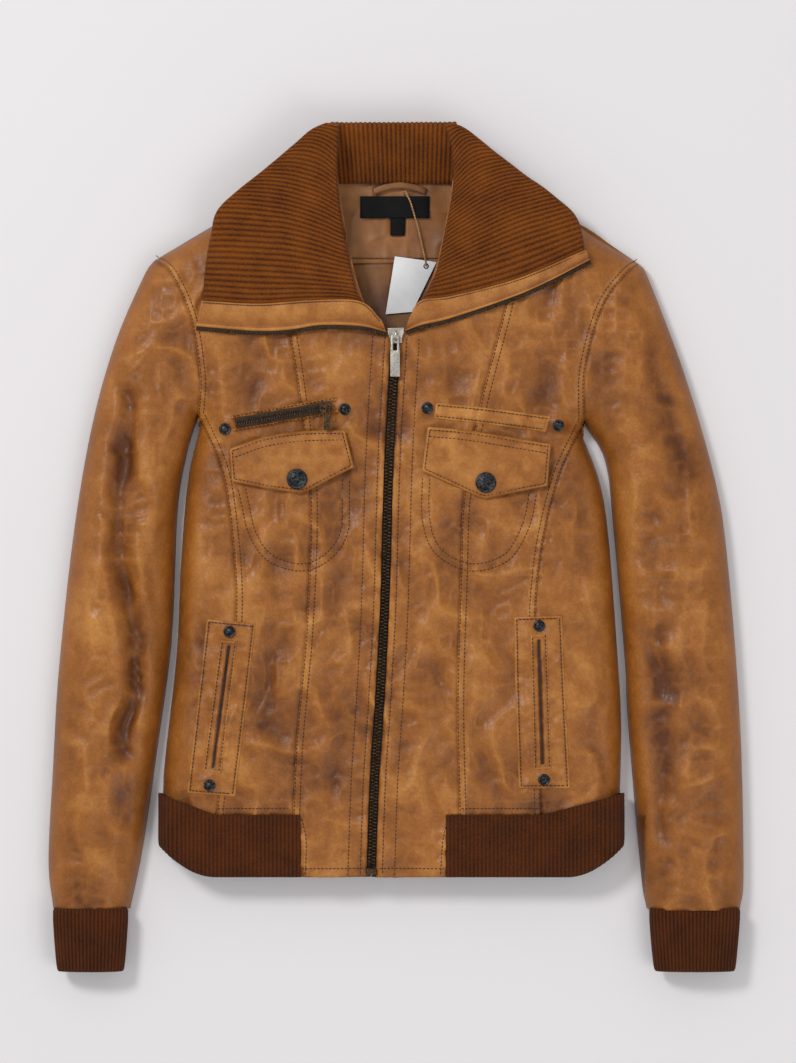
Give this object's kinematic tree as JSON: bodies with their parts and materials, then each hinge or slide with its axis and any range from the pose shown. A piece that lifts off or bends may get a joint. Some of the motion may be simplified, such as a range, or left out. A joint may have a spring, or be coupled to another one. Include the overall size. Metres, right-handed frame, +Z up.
{
  "type": "leather jacket",
  "caption": "Cognac leather blouson lying flat, with rib-knit collar, cuffs and hem, a front zip, snap-flap chest pockets and slanted hand pockets.",
  "frame": {"origin": "on the floor under the middle of the jacket as it lies on its back", "axes": "+Y towards the collar, +Z up from the floor through the front, +X to the wearer's left"},
  "size_m": [0.6006, 0.7282, 0.0455],
  "materials": {
    "cognac_leather": "semi-gloss, mottled",
    "rib_knit": "matte rib knit",
    "satin_lining": "satin",
    "zip_tape": "woven tape",
    "antique_brass": "antique dark brass",
    "nickel": "bright nickel plate",
    "gunmetal": "gunmetal plate",
    "white_card": "matte card",
    "black_satin": "woven satin",
    "hemp_string": "twisted string"
  },
  "bodies": {
    "torso": {"back_lining": "satin_lining", "back_panel": "cognac_leather", "chest_pocket_bag_l": "satin_lining", "chest_pocket_bag_r": "satin_lining", "chest_rivet_l_inner": "gunmetal", "chest_rivet_l_outer": "gunmetal", "chest_rivet_r_inner": "gunmetal", "chest_rivet_r_outer": "gunmetal", "chest_welt": "cognac_leather", "chest_zip_chain": "antique_brass", "chest_zip_tape": "zip_tape", "collar_stand": "rib_knit", "front_centre_l": "cognac_leather", "front_centre_r": "cognac_leather", "front_mid_l": "cognac_leather", "front_mid_r": "cognac_leather", "hand_pocket_bag_l": "satin_lining", "hand_pocket_bag_r": "satin_lining", "hand_pocket_frame_l": "cognac_leather", "hand_pocket_frame_r": "cognac_leather", "hand_pocket_welt_l": "cognac_leather", "hand_pocket_welt_r": "cognac_leather", "hand_rivet_l_low": "gunmetal", "hand_rivet_l_top": "gunmetal", "hand_rivet_r_low": "gunmetal", "hand_rivet_r_top": "gunmetal", "hang_loop": "satin_lining", "hem_rib": "rib_knit", "neck_facing": "satin_lining", "neck_label": "black_satin", "side_panel_l": "cognac_leather", "side_panel_r": "cognac_leather", "snap_stud_l": "gunmetal", "snap_stud_r": "gunmetal", "tag_string": "hemp_string", "zip_box": "antique_brass", "zip_chain": "antique_brass", "zip_tape_l": "zip_tape", "zip_tape_r": "zip_tape"},
    "sleeve_right": {"upper_sleeve_r": "cognac_leather", "under_sleeve_r": "cognac_leather", "cuff_rib_r": "rib_knit"},
    "sleeve_left": {"upper_sleeve_l": "cognac_leather", "under_sleeve_l": "cognac_leather", "cuff_rib_l": "rib_knit"},
    "collar_right": {"collar_wing_r": "rib_knit", "collar_band_r": "cognac_leather"},
    "collar_left": {"collar_wing_l": "rib_knit", "collar_band_l": "cognac_leather"},
    "zip_slider_body": {"zip_slider": "gunmetal"},
    "zip_puller_body": {"zip_puller": "nickel"},
    "chest_slider_body": {"chest_zip_slider": "gunmetal"},
    "chest_puller_body": {"chest_zip_puller": "antique_brass"},
    "chest_flap_right": {"chest_flap_r": "cognac_leather", "snap_cap_r": "gunmetal"},
    "chest_flap_left": {"chest_flap_l": "cognac_leather", "snap_cap_l": "gunmetal"},
    "tag": {"hang_tag": "white_card"}
  },
  "joints": [
    {"name": "sleeve_right_swing", "type": "hinge", "parent": "torso", "child": "sleeve_right", "pos_m": [-0.21, 0.249, 0], "axis": [0, 0, -1], "range_deg": [0, 35]},
    {"name": "sleeve_left_swing", "type": "hinge", "parent": "torso", "child": "sleeve_left", "pos_m": [0.211, 0.246, 0], "axis": [0, 0, 1], "range_deg": [0, 35]},
    {"name": "collar_right_fold", "type": "hinge", "parent": "torso", "child": "collar_right", "pos_m": [-0.054, 0.358, 0.0363], "axis": [-0.2478, 0.9688, 0], "range_deg": [0, 70]},
    {"name": "collar_left_fold", "type": "hinge", "parent": "torso", "child": "collar_left", "pos_m": [0.0515, 0.358, 0.0363], "axis": [-0.2452, -0.9695, 0], "range_deg": [0, 70]},
    {"name": "front_zip_slide", "type": "slide", "parent": "torso", "child": "zip_slider_body", "axis": [-0.0458, -0.999, 0], "range_m": [0, 0.44]},
    {"name": "front_puller_hinge", "type": "hinge", "parent": "zip_slider_body", "child": "zip_puller_body", "pos_m": [-0.00004, 0.18322, 0.0401], "axis": [-0.999, 0.0458, 0], "range_deg": [0, 150]},
    {"name": "chest_zip_slide", "type": "slide", "parent": "torso", "child": "chest_slider_body", "axis": [-0.9848, -0.1738, 0], "range_m": [0, 0.062]},
    {"name": "chest_puller_hinge", "type": "hinge", "parent": "chest_slider_body", "child": "chest_puller_body", "pos_m": [-0.06039, 0.1217, 0.0429], "axis": [-0.9848, -0.1738, 0], "range_deg": [0, 150]},
    {"name": "chest_flap_right_hinge", "type": "hinge", "parent": "torso", "child": "chest_flap_right", "pos_m": [-0.093, 0.0905, 0.0382], "axis": [-0.9923, -0.124, 0], "range_deg": [0, 80]},
    {"name": "chest_flap_left_hinge", "type": "hinge", "parent": "torso", "child": "chest_flap_left", "pos_m": [0.0795, 0.0915, 0.0382], "axis": [-0.9924, 0.1229, 0], "range_deg": [0, 110]},
    {"name": "tag_swing", "type": "hinge", "parent": "torso", "child": "tag", "pos_m": [0.026, 0.245, 0.0043], "axis": [0, 0, 1], "range_deg": [-12, 8]}
  ]
}
